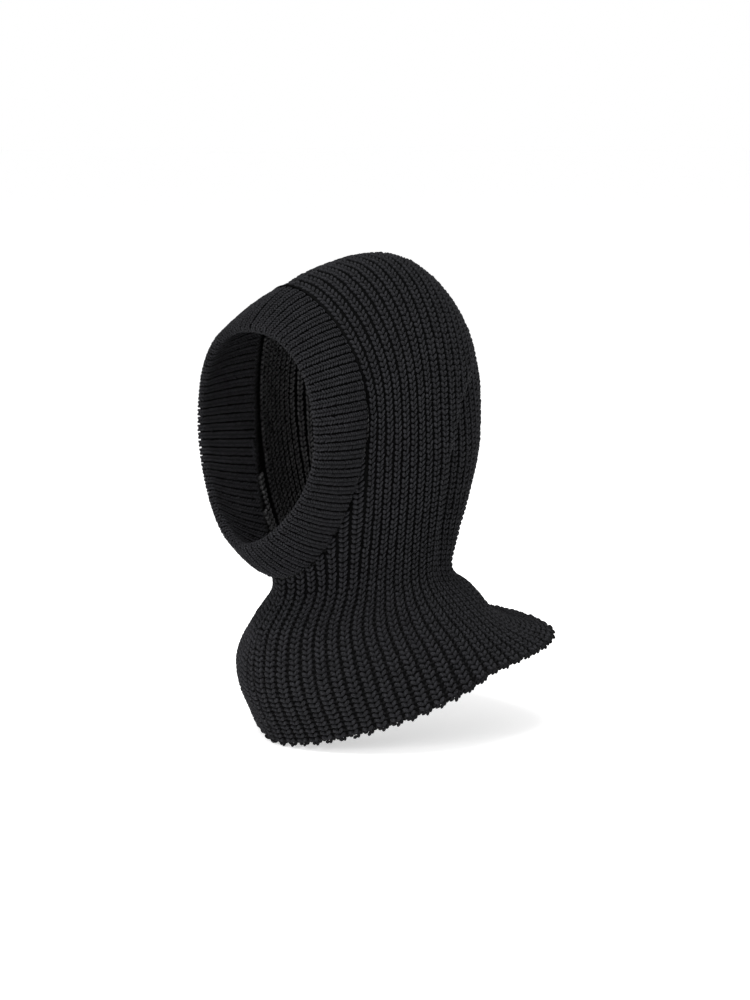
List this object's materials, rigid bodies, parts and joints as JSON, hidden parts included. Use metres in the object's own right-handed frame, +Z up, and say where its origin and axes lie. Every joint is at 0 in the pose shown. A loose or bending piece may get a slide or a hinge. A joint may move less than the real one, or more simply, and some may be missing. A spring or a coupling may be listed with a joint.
{
  "type": "balaclava",
  "caption": "Chunky rib-knit balaclava with an oval face opening framed by a folded rib band, a close neck and a flared bib.",
  "frame": {"origin": "the inside of the crown on the centre line, where the top of the wearer's head touches the knit", "axes": "+Z up, -Y the way the wearer faces, +X the wearer's left"},
  "size_m": [0.2616, 0.2589, 0.3817],
  "materials": {
    "knit_body": "matt charcoal wool rib",
    "knit_band": "matt charcoal wool rib, finer",
    "seam_yarn": "matt charcoal wool yarn"
  },
  "bodies": {
    "root": {"body": "knit_body", "face_band": "knit_band", "face_seam": "seam_yarn", "back_seam": "seam_yarn", "throat_seam": "seam_yarn", "band_join": "seam_yarn", "hem_edge": "knit_body"}
  },
  "joints": []
}
